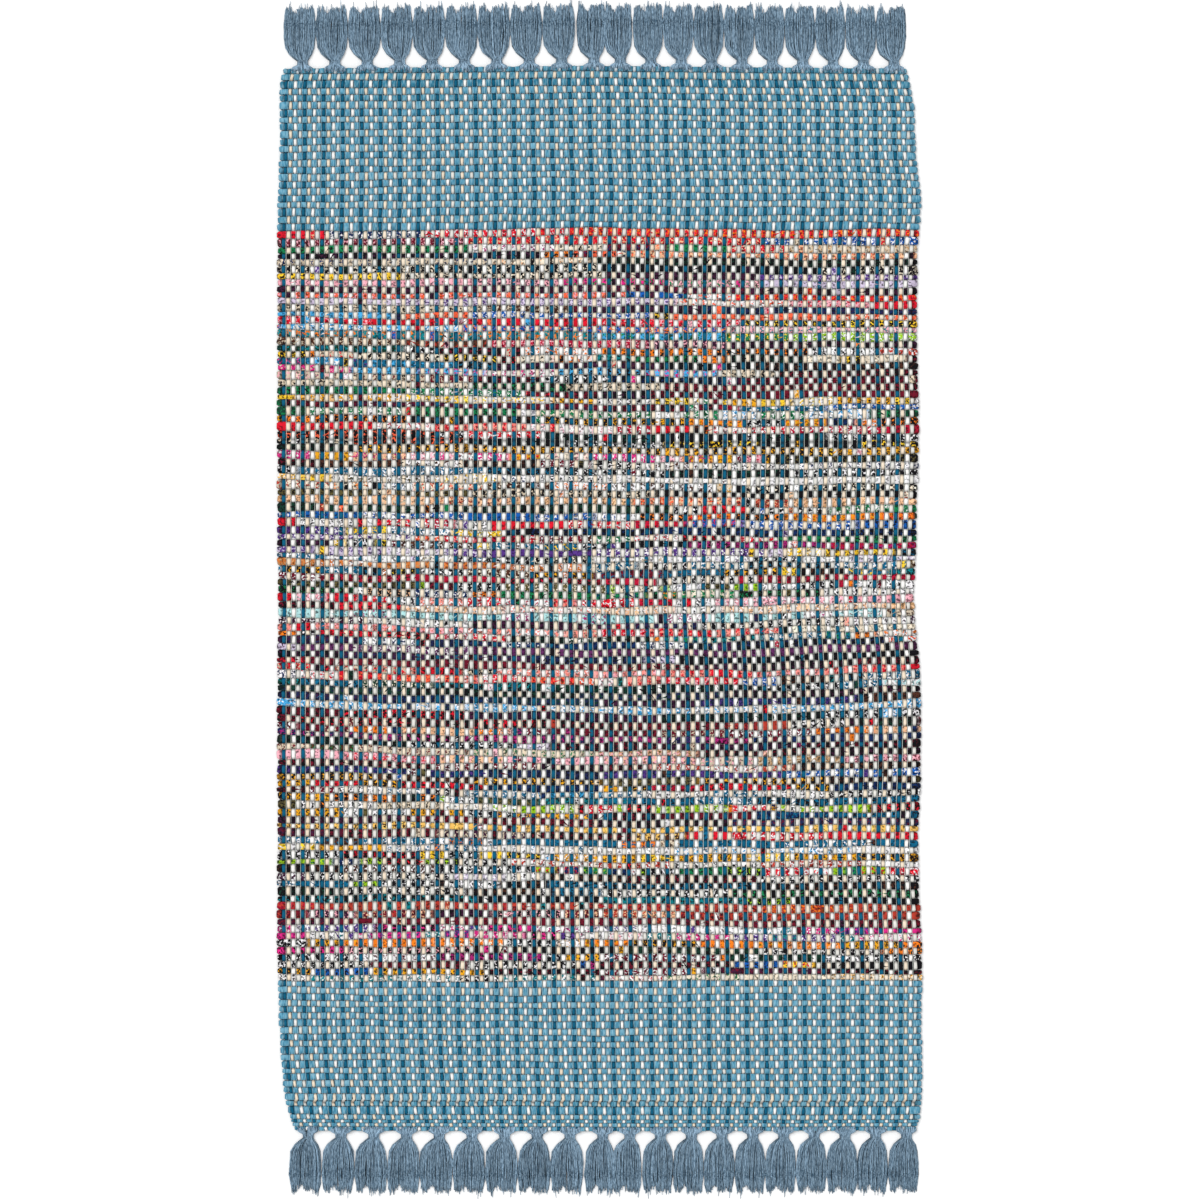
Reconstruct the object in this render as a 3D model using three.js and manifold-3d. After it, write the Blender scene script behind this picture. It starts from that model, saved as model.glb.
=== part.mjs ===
// A flat-woven cotton rag rug with a row of tassels along each end.
// Millimetres, +Z up. The rug lies on the plane z = 0 with its length along Y and its middle over the origin.
// "Far" is the +Y end and "near" the -Y end.
import * as THREE from "three";
import { mergeVertices } from "three/addons/utils/BufferGeometryUtils.js";
import Module from "manifold-3d";

const wasm = await Module();
wasm.setup();

// Driving dimensions of the woven cloth
const clothThickness = 6.4;
const ribDepth = 1.3; // hollow between two picks, under their crests
const scallopDepth = 1.6; // how far the selvedge draws in between two weft turns
const clothColumns = 2;

// The weft bands from the near end to the far end: a plain border, the rag centre, a plain border
const bands = [
  { band: "near border", length: 213, picks: 23 },
  { band: "rag centre", length: 1063, picks: 106 },
  { band: "far border", length: 230, picks: 23 },
];

// The two selvedges, hand-woven and so never quite straight
const selvedges = [
  { along: -753, left: -433, right: 450 },
  { along: -730, left: -441, right: 456 },
  { along: -695, left: -448, right: 458 },
  { along: -624, left: -454, right: 458 },
  { along: -497, left: -458, right: 458 },
  { along: -369, left: -458, right: 453 },
  { along: -213, left: -458, right: 457 },
  { along: -86, left: -458, right: 454 },
  { along: -22, left: -457, right: 448 },
  { along: 113, left: -458, right: 451 },
  { along: 240, left: -458, right: 454 },
  { along: 368, left: -458, right: 451 },
  { along: 509, left: -458, right: 453 },
  { along: 566, left: -457, right: 457 },
  { along: 637, left: -455, right: 449 },
  { along: 708, left: -455, right: 446 },
  { along: 736, left: -454, right: 440 },
  { along: 753, left: -449, right: 436 },
];

// How far the picks bow outwards in the middle of the width, at each end
const bow = { near: 1, far: 4 };

// The tassels: ten at one pitch, a closer pair in the middle, then ten at a second pitch
const tasselsPerHalf = 10;
const tasselRows = [
  { end: "near", outward: -1, first: -413, leftPitch: 46.4, middlePitch: 38.3, rightPitch: 43.6 },
  { end: "far", outward: 1, first: -421, leftPitch: 45.9, middlePitch: 37.5, rightPitch: 43.1 },
];
const seatGap = 0.3; // between a tassel's head and the cloth
const tasselGap = 1; // between the bellies of two tassels
const bellyShift = -3.5; // the tassels are combed over to this side of their necks
const endReach = 21.5; // belly of an outermost tassel, beyond its middle

// The knotted head of a tassel, from the cloth outwards: a flare, a tied neck and the start of the skirt
const headSides = 6;
const headSections = [
  { out: 0, halfWidth: 15.5, height: 6.4 },
  { out: 3.5, halfWidth: 10.5, height: 7.2 },
  { out: 9, halfWidth: 9.2, height: 8 },
  { out: 17, halfWidth: 14.6, height: 8.2 },
];

// The skirt of a tassel: how its belly opens from the neck (0) to its full reach (1), and how high it lies
const lockSides = 3;
const neckHalfWidth = 9.2;
const skirtSections = [
  { share: 0, opening: 0, height: 5.5 },
  { share: 0.24, opening: 0.92, height: 7.4 },
  { share: 0.6, opening: 1, height: 6.4 },
  { share: 1, opening: 0.97, height: 3.6 },
];
const lockRoot = 10; // the locks start this far out, inside the head
const lockFill = 0.86; // a lock's width beside its share of the skirt
const tipFill = 0.6;
const lockTips = [85.5, 77, 86, 87.5, 86, 87]; // from the cloth to each lock's cut end, left to right

// Materials
const ragCloth = new THREE.MeshStandardMaterial({ color: "#8a8784", roughness: 0.95, metalness: 0 });
const tasselYarn = new THREE.MeshStandardMaterial({ color: "#657d8e", roughness: 0.95, metalness: 0 });

const pickCount = bands.reduce((sum, { picks }) => sum + picks, 0);
const clothLength = bands.reduce((sum, { length }) => sum + length, 0);
const edgeOf = new THREE.CubicInterpolant(
  selvedges.map(({ along }) => along),
  selvedges.flatMap(({ left, right }) => [left, right]),
  2,
);

// Where a boundary or crest of the picks lies along Y. Even rows are boundaries and odd rows are crests.
function rowPlace(row) {
  let start = -clothLength / 2;
  let pick = row / 2;
  for (const { length, picks } of bands) {
    if (pick <= picks) return start + (pick * length) / picks;
    start += length;
    pick -= picks;
  }
  return clothLength / 2;
}

// How far the bow moves a point along Y. across runs from 0 at the left selvedge to 1 at the right.
function bowAt(along, across) {
  const share = along / clothLength + 0.5;
  const middle = 1 - Math.abs(2 * across - 1);
  return THREE.MathUtils.lerp(-bow.near, bow.far, share) * middle;
}

// The cloth: a slab whose top is ribbed by the picks and whose sides follow the selvedges
function clothGeometry() {
  const rows = 2 * pickCount;
  const geometry = new THREE.BoxGeometry(1, 1, 1, clothColumns, rows, 1);
  const point = geometry.getAttribute("position");
  for (let i = 0; i < point.count; i++) {
    const across = point.getX(i) + 0.5;
    const row = Math.round((point.getY(i) + 0.5) * rows);
    const isTop = point.getZ(i) > 0;
    const isCrest = row % 2 === 1;
    const along = rowPlace(row);
    const [left, right] = edgeOf.evaluate(along);
    const drawnIn = isCrest ? 0 : scallopDepth;
    const x = THREE.MathUtils.lerp(left + drawnIn, right - drawnIn, across);
    const top = isCrest ? clothThickness : clothThickness - ribDepth;
    point.setXYZ(i, x, along + bowAt(along, across), isTop ? top : 0);
  }
  return geometry;
}

// A closed bar along +Y through a list of sections, each with its place along Y, its middle and half-width
// along X, and its height above the floor. A flat side lies on z = 0 and the lower half keeps its full width.
function barGeometry(sides, sections) {
  const steps = sections.length - 1;
  const flatSideDown = Math.PI / sides;
  const geometry = new THREE.CylinderGeometry(1, 1, 1, sides, steps, false, flatSideDown);
  geometry.computeBoundingBox();
  const { min, max } = geometry.boundingBox;
  const point = geometry.getAttribute("position");
  for (let i = 0; i < point.count; i++) {
    const { out, middle, halfWidth, height } = sections[Math.round((point.getY(i) + 0.5) * steps)];
    const isLower = point.getZ(i) > 0.1;
    const side = isLower ? Math.sign(point.getX(i)) : point.getX(i) / max.x;
    const x = middle - side * halfWidth;
    const z = ((max.z - point.getZ(i)) / (max.z - min.z)) * height;
    point.setXYZ(i, x, out, z);
  }
  return geometry;
}

function solidOf(geometry) {
  geometry.deleteAttribute("normal");
  geometry.deleteAttribute("uv");
  const merged = mergeVertices(geometry);
  return new wasm.Manifold(
    new wasm.Mesh({
      numProp: 3,
      vertProperties: merged.getAttribute("position").array,
      triVerts: new Uint32Array(merged.index.array),
    }),
  );
}

function geometryOf(solid) {
  const { vertProperties, triVerts } = solid.getMesh();
  const geometry = new THREE.BufferGeometry();
  geometry.setAttribute("position", new THREE.BufferAttribute(vertProperties, 3));
  geometry.setIndex(new THREE.BufferAttribute(triVerts, 1));
  geometry.computeVertexNormals();
  return geometry;
}

// The sections of one lock. slot counts the locks from the left, and belly holds the skirt's two sides.
function lockSections(slot, belly) {
  const count = lockTips.length;
  const place = (slot + 0.5) / count;
  return skirtSections.map(({ share, opening, height }) => {
    const left = THREE.MathUtils.lerp(-neckHalfWidth, belly.left, opening);
    const right = THREE.MathUtils.lerp(neckHalfWidth, belly.right, opening);
    const fill = share === 1 ? tipFill : lockFill;
    return {
      out: THREE.MathUtils.lerp(lockRoot, lockTips[slot], share),
      middle: THREE.MathUtils.lerp(left, right, place),
      halfWidth: ((right - left) / count / 2) * fill,
      height,
    };
  });
}

// One tassel, standing out along +Y from its seat at the origin: a head with its locks fused into it
function tasselGeometry(belly) {
  const head = barGeometry(headSides, headSections.map((section) => ({ ...section, middle: 0 })));
  let tassel = solidOf(head);
  for (let slot = 0; slot < lockTips.length; slot++) {
    tassel = tassel.add(solidOf(barGeometry(lockSides, lockSections(slot, belly))));
  }
  return geometryOf(tassel);
}

// The places of the necks along X in one row of tassels
function neckPlaces({ first, leftPitch, middlePitch, rightPitch }) {
  const places = [first];
  for (let i = 1; i < 2 * tasselsPerHalf; i++) {
    const isMiddle = i === tasselsPerHalf;
    const pitch = i < tasselsPerHalf ? leftPitch : isMiddle ? middlePitch : rightPitch;
    places.push(places[i - 1] + pitch);
  }
  return places;
}

// How far a tassel's belly reaches to its left and right of its neck
function bellyOf(places, i) {
  const toLeft = i > 0 ? (places[i] - places[i - 1] - tasselGap) / 2 : endReach;
  const toRight = i < places.length - 1 ? (places[i + 1] - places[i] - tasselGap) / 2 : endReach;
  return { left: bellyShift - toLeft, right: bellyShift + toRight };
}

// How far along Y the edge of the cloth lies, where a tassel's neck meets it
function clothEnd(outward, x) {
  const along = (outward * clothLength) / 2;
  const [left, right] = edgeOf.evaluate(along);
  const drawnLeft = left + scallopDepth;
  const drawnRight = right - scallopDepth;
  const across = (x - drawnLeft) / (drawnRight - drawnLeft);
  return along + bowAt(along, across);
}

function tasselRow(row) {
  const group = new THREE.Group();
  const places = neckPlaces(row);
  places.forEach((x, i) => {
    const mesh = new THREE.Mesh(tasselGeometry(bellyOf(places, i)), tasselYarn);
    const number = String(i + 1).padStart(2, "0");
    mesh.name = `tassel_${row.end}_${number}`;
    const flare = headSections[0].halfWidth;
    const ends = [x - flare, x, x + flare].map((place) => row.outward * clothEnd(row.outward, place));
    mesh.position.set(x, row.outward * (Math.max(...ends) + seatGap), 0);
    mesh.scale.y = row.outward; // the near row is the far one seen in a mirror
    group.add(mesh);
  });
  return group;
}

const cloth = new THREE.Mesh(clothGeometry(), ragCloth);
cloth.name = "cloth";

const rug = new THREE.Group();
rug.position.y = (bow.near - bow.far) / 2; // puts the middle of the overall length over the origin
rug.add(cloth);
tasselRows.forEach((row) => rug.add(tasselRow(row)));

export default rug;
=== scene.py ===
import math

import bmesh
import bpy
import numpy as np
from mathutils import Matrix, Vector


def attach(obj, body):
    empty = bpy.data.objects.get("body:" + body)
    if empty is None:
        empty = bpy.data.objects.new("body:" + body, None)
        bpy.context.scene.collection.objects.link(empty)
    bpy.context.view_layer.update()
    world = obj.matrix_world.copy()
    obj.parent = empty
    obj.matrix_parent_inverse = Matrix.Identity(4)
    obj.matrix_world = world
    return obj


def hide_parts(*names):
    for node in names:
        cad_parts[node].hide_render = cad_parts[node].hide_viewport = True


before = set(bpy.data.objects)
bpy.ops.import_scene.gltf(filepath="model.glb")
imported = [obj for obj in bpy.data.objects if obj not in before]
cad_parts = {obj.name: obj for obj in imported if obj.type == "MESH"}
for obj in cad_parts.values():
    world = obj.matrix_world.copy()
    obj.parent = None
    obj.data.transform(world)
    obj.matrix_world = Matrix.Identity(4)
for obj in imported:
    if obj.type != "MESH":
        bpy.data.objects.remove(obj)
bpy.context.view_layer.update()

# A hand-woven cotton rag rug, seen from straight above. Lengths are millimetres until a mesh is made.
# +Y is the far end of the rug and +X its right-hand selvedge.
mm = 0.001
print("rug: frame loaded")


def linear(hexColour):  # sRGB hex to the linear values that sockets and attributes hold
    channels = [int(hexColour[i:i + 2], 16) / 255 for i in (1, 3, 5)]
    return [c / 12.92 if c <= 0.04045 else ((c + 0.055) / 1.055) ** 2.4 for c in channels]


def addNode(tree, kind, inputs=None, **settings):  # one node, its settings, its values and its links
    node = tree.nodes.new("ShaderNode" + kind)
    for name, value in settings.items():
        setattr(node, name, value)
    for name, value in (inputs or {}).items():
        if isinstance(value, bpy.types.NodeSocket):
            tree.links.new(value, node.inputs[name])
        else:
            node.inputs[name].default_value = value
    return node


def readOff(table, places):  # the value at each place, between the rows of a table of places and values
    return np.interp(places, *np.array(table, float).T)


def mattMaterial(name, roughness, specular):
    material = bpy.data.materials.new(name)
    material.use_nodes = True
    shader = material.node_tree.nodes["Principled BSDF"]
    shader.inputs["Roughness"].default_value = roughness
    shader.inputs["Specular IOR Level"].default_value = specular
    return material


def dress(pieces, material, colour, relief):  # links both to the shader and gives the pieces the material
    links = material.node_tree.links
    shader = material.node_tree.nodes["Principled BSDF"]
    links.new(colour, shader.inputs["Base Color"])
    links.new(relief, shader.inputs["Normal"])
    for piece in pieces:
        piece.data.materials.append(material)


# The ground plan of the weave: sizes that the part also has, and the spacing of its yarns
ground = {
    "seed": 11,
    "middle": -1.5,  # the weave's middle along Y, beside the middle of the overall length
    "level": 3.2,  # mid-plane of the cloth above the floor
    "nearBow": 1,
    "farBow": 4,
    "warpEnds": 132,
    "firstEnd": 10.6,  # from the selvedge to the outermost warp end
    "endPitch": 6.81,
    "firstPick": 0.8,  # height of the first pick at the far end, beside the others
    "lastPicks": [1, 0.85, 1.2, 0.75, 0.5, 0.6, 0.65],  # heights at the near end, where they are beaten tight
    "sameShed": [53, 147],  # picks that lie in the same shed as the pick before them
    "jog": -3.3,  # how far the last picks have pulled the ends aside
    "unevenRags": 0.088,  # how far a line between two torn rags lies from its place, in picks
    "unevenBlues": 0.07,  # the same in the borders
    "unevenPicks": 0.1,  # how far each line wanders along its length, in picks
    "lineWaves": (1.7, 4.3, 9.1),  # cycles of that across the width
    "drift": 1.3,  # how far the picks wander out of line together
}
bands = [  # from the far end to the near end, as the stripes are listed
    {"length": 230, "picks": 23},  # far border
    {"length": 1063, "picks": 106},  # rag centre
    {"length": 213, "picks": 24},  # near border
]
selvedges = [  # along, left, right
    (-753, -433, 450), (-730, -441, 456), (-695, -448, 458), (-624, -454, 458), (-497, -458, 458),
    (-369, -458, 453), (-213, -458, 457), (-86, -458, 454), (-22, -457, 448), (113, -458, 451),
    (240, -458, 454), (368, -458, 451), (509, -458, 453), (566, -457, 457), (637, -455, 449),
    (708, -455, 446), (736, -454, 440), (753, -449, 436),
]
ragBeat = [  # rag pick, how far it lies from an even spacing, towards the far end
    (0, 0), (2, -2), (7, 0.4), (11, 3.5), (15, 6.4), (21, 5), (26, 7), (31, 5), (37, 3.5), (42, 0), (46, 1.4),
    (50, 4.2), (55, 1.4), (62, 5), (67, 5), (70, 0.7), (75, 1.7), (80, 2.8), (86, 3.5), (93, 2.8), (98, 0.7),
    (104, -1.4), (106, 0),
]

rng = np.random.default_rng(ground["seed"])
pickCount = sum(row["picks"] for row in bands)
clothLength = sum(row["length"] for row in bands)
endPlaces = ground["firstEnd"] + ground["endPitch"] * np.arange(ground["warpEnds"])
loomWidth = endPlaces[-1] + ground["firstEnd"]


def selvedgeAt(along):  # the left and right edges of the cloth, on a smooth curve through the table
    station, left, right = np.array(selvedges, float).T
    k = np.clip(np.searchsorted(station, along) - 1, 0, station.size - 2)
    span = station[k + 1] - station[k]
    t = np.clip((along - station[k]) / span, 0, 1)
    edges = []
    for edge in (left, right):
        slope = np.gradient(edge, station)
        rise = edge[k + 1] - edge[k]
        curve = t * t * (3 - 2 * t) * rise
        curve += span * (t * (1 - t) ** 2 * slope[k] - t * t * (1 - t) * slope[k + 1])
        edges.append(edge[k] + curve)
    return edges


def placeOf(across, along):  # across runs from 0 to 1 over the width; gives X and Y in the part's frame
    left, right = selvedgeAt(along)
    share = along / clothLength + 0.5
    bow = ground["farBow"] * share - ground["nearBow"] * (1 - share)
    x = left + across * (right - left)
    y = along + bow * (1 - np.abs(2 * across - 1)) + ground["middle"]
    return x, y


bandEdges = np.cumsum([0] + [row["picks"] for row in bands])
edgePlaces = clothLength / 2 - np.cumsum([0] + [row["length"] for row in bands])
beat = np.ones(pickCount)
beat[0] = ground["firstPick"]
beat[-len(ground["lastPicks"]):] = ground["lastPicks"]
heights = np.concatenate([
    row["length"] * beat[first:after] / beat[first:after].sum()
    for row, first, after in zip(bands, bandEdges[:-1], bandEdges[1:])
])
pickHeight = heights.mean()
linePlaces = clothLength / 2 - np.concatenate([[0], np.cumsum(heights)])
inRags = np.zeros(pickCount + 1, bool)
inRags[bandEdges[1] + 1:bandEdges[2]] = True
uneven = np.where(inRags, ground["unevenRags"], ground["unevenBlues"]) * pickHeight
linePlaces += rng.uniform(-1, 1, pickCount + 1) * uneven
ragLines = np.arange(pickCount + 1) - bandEdges[1]  # counted from the first rag pick
linePlaces += readOff(ragBeat, ragLines)
linePlaces[bandEdges] = edgePlaces
linePhase = rng.random((pickCount + 1, len(ground["lineWaves"])))
driftWaves = [  # cycles across, cycles along, phase, share
    (0.8, 3.0, 0.10, 1.0), (1.4, 5.0, 0.55, 0.7), (2.3, 8.0, 0.30, 0.45), (3.6, 12.0, 0.80, 0.3),
]
ragSag = np.array([  # rag pick, then how far it sags towards the near end at five places from left to right
    (0, 0, 0, 0, 0, 0), (10, -1.5, -1, 1.5, 3.5, 3), (24, -3.5, 2, 3, 3.5, 1.5), (36, -4, 0.5, 4.5, 2, -1),
    (50, -4, 0.5, 5.5, 5, -2), (66, -5, 3, 8.5, 5.5, -2), (78, 0, 4, 6.5, 5.5, 1),
    (90, -1.5, 1.5, 5.5, 4.5, 3), (100, 1, -0.5, 2.5, 6, 5), (106, 0, 0, 0, 0, 0),
])
sagPlaces = np.linspace(0, 1, ragSag.shape[1] - 1)
lineSag = np.stack([np.interp(ragLines, ragSag[:, 0], sag) for sag in ragSag[:, 1:].T], axis=1)


def pickBoundaries(across):  # where each pick meets the next along Y, one row for each line between two
    share = linePlaces[:, None] / clothLength + 0.5
    waves = sum(
        np.sin(2 * np.pi * (cycles * across[None, :] + linePhase[:, [i]]))
        for i, cycles in enumerate(ground["lineWaves"])
    )
    drift = sum(
        weight * np.sin(2 * np.pi * (u * across[None, :] + v * share + phase))
        for u, v, phase, weight in driftWaves
    )
    ease = np.clip(np.sin(np.pi * share), 0, 1) ** 0.5  # the ends stay straight
    sag = np.stack([np.interp(across, sagPlaces, row) for row in lineSag])
    wander = ease * (ground["drift"] * drift + ground["unevenPicks"] * pickHeight * waves)
    return linePlaces[:, None] + wander - sag


sheds = np.arange(pickCount) - np.searchsorted(ground["sameShed"], np.arange(pickCount), side="right")
jogs = np.where(np.arange(pickCount) >= ground["sameShed"][-1], ground["jog"], 0)


def isWarpOver(end, pick):  # plain weave: each end goes over one pick and under the next
    return (end + sheds[pick]) % 2 == 0


stripMargin = 0.04  # left clear on each side of a strand's strip of the map
leastTangent = 1e-6  # keeps two rings in one place from dividing by zero


def strandPiece(name, centre, halfWidth, halfThick, section):
    # Strands of a soft section joined in one mesh. centre is (strand, ring, xyz); each ring has its own
    # half-width in the plane of the cloth and its own half-thickness. section lists the corners of a ring.
    strands, rings = centre.shape[:2]
    sides = len(section)
    sideways, upwards = np.array(section, float).T
    tangent = np.gradient(centre, axis=1)[..., :2]
    tangent /= np.maximum(np.linalg.norm(tangent, axis=2, keepdims=True), leastTangent)
    out = halfWidth[..., None] * sideways
    points = np.repeat(centre[:, :, None, :], sides, axis=2)
    points[..., 0] += out * tangent[:, :, None, 1]
    points[..., 1] -= out * tangent[:, :, None, 0]
    points[..., 2] += halfThick[..., None] * upwards

    ring = np.arange(strands * rings).reshape(strands, rings)
    side = np.arange(sides)
    a = ring[:, :-1].reshape(-1, 1) * sides + side
    b = ring[:, :-1].reshape(-1, 1) * sides + (side + 1) % sides
    walls = np.stack([a, a + sides, b + sides, b], axis=2).reshape(-1, 4)
    heads = ring[:, :1] * sides + side
    tails = ring[:, -1:] * sides + side[::-1]
    mesh = bpy.data.meshes.new(name)
    faces = walls.tolist() + heads.tolist() + tails.tolist()
    mesh.from_pydata((points.reshape(-1, 3) * mm).tolist(), [], faces)
    mesh.shade_smooth()

    # Each strand is one strip of the map, along it in u and around it in v
    row, step = np.divmod(np.arange(strands * (rings - 1)), rings - 1)
    u = np.stack([step, step + 1, step + 1, step], axis=1)[:, None, :] / rings
    v = np.stack([side, side, side + 1, side + 1], axis=1)[None, :, :] / sides
    v = (row[:, None, None] + stripMargin + (1 - 2 * stripMargin) * v) / strands
    strip = np.stack(np.broadcast_arrays(u, v), axis=3).reshape(-1, 2)
    middle = (np.arange(strands) + 0.5) / strands
    capU = np.repeat([0, (rings - 1) / rings], strands * sides)
    cap = np.stack([capU, np.tile(np.repeat(middle, sides), 2)], axis=1)
    mesh.uv_layers.new(name="OFBake").uv.foreach_set("vector", np.vstack([strip, cap]).ravel())

    piece = bpy.data.objects.new(name, mesh)
    bpy.context.scene.collection.objects.link(piece)
    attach(piece, "root")
    return piece


def paint(piece, name, rings, cornerShade):  # one RGBA value for each ring; the given factors darken its lower corners with painted shade
    corners = np.repeat(rings.reshape(-1, 1, 4), len(cornerShade), axis=1)
    corners[..., :3] *= np.array(cornerShade)[:, None]
    attribute = piece.data.attributes.new(name, "FLOAT_COLOR", "POINT")
    attribute.data.foreach_set("color", corners.ravel())


# The weft: blue cotton in the two borders, torn rags between them
weft = {
    "section": [(1, -0.8), (0.86, 0.9), (-0.86, 0.9), (-1, -0.8)],  # beaten flat against its neighbours
    "cornerShade": [0.2, 1, 1, 0.2],  # painted shade at the lower corners of the section, where little light reaches
    "sunk": 0.15,  # light where it dives under an end
    "crimp": 1.15,  # how far it rises over an end and sinks under the next
    "halfThick": 1.9,
    "lumps": 0.08,  # how much its thickness changes from ring to ring
    "fill": 0.97,  # its width beside its share of the length
    "crumple": 0.06,  # how much that changes from ring to ring
    "wander": 0.15,  # and how far it strays from the middle of its pick
    "overShare": 0.36,  # the flat over an end, each side of its middle, in pitches
    "underShare": 0.2,
    "ringShare": 0.25,  # where a ring reads its colour and its lines, each side of an end, in pitches
    "turnShare": 0.004,  # where the shoulder of a turn does, in widths of the cloth
    "tip": 0.8,  # from the selvedge to the tip of a turn, and to where it has its full width
    "shoulder": 3.2,
    "turnIn": (-0.6, 1.5),  # some turns stand out further than others
    "turnLevel": 0.3,  # a turn over the mid-plane, and how much lower its tip lies
    "tipDrop": 0.4,
    "tipWidth": 0.66,  # beside the full width and thickness
    "tipThick": 0.6,
    "turnLight": [0.8, 1, 1, 0.8],
    "skips": 0.003,  # share of the places where a thick rag rides over an end and hides it
    "ride": 0.7,  # how much higher it lies there
    "strays": 0.05,  # share of the rag floats that show another colour
    "startSpread": 0.004,  # how far from its listed place a new rag starts, in widths of the cloth
    "borderShade": 0.06,  # how much the light changes from ring to ring
    "ragShade": 0.14,
}
borderBlues = {"deep": "#3a7f9a", "teal": "#4f8fa8", "mid": "#5897b2", "light": "#66a1ba"}
# Border picks from the far end inwards, and from the centre out to the near end
borderPicks = {
    "far": "teal teal deep mid teal mid mid light mid light mid light mid mid mid light mid mid mid light "
           "mid teal mid",
    "near": "mid light mid light teal mid mid light mid mid mid light mid mid mid light mid light teal mid "
            "mid teal mid mid",
}
palette = {
    "black": "#110f14", "maroon": "#6a1226", "plum": "#3d1935", "brown": "#4d2c20", "navy": "#122a58",
    "indigo": "#20284f", "royal": "#1459ac", "ocean": "#0d6488", "sky": "#45a3d9", "teal": "#0f7f88",
    "aqua": "#a9d5d6", "green": "#167a4b", "forest": "#12392c", "lime": "#93c11f", "olive": "#5e5533",
    "yellow": "#f6c832", "gold": "#e6a21f", "honey": "#f4c164", "orange": "#f37d1f", "copper": "#cd7436",
    "rust": "#b03a2c", "coral": "#f4623f", "salmon": "#f08c80", "red": "#d8172c", "crimson": "#b01334",
    "pink": "#f3abb8", "hotpink": "#dc2a84", "magenta": "#a3246f", "grape": "#5f2a5c", "lilac": "#cdc0d8",
    "purple": "#553583", "white": "#f1eef0", "cream": "#ecdfca", "peach": "#f2bd95", "beige": "#cfbfa8",
    "tan": "#bb9064", "grey": "#9b9ba3",
}
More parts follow.
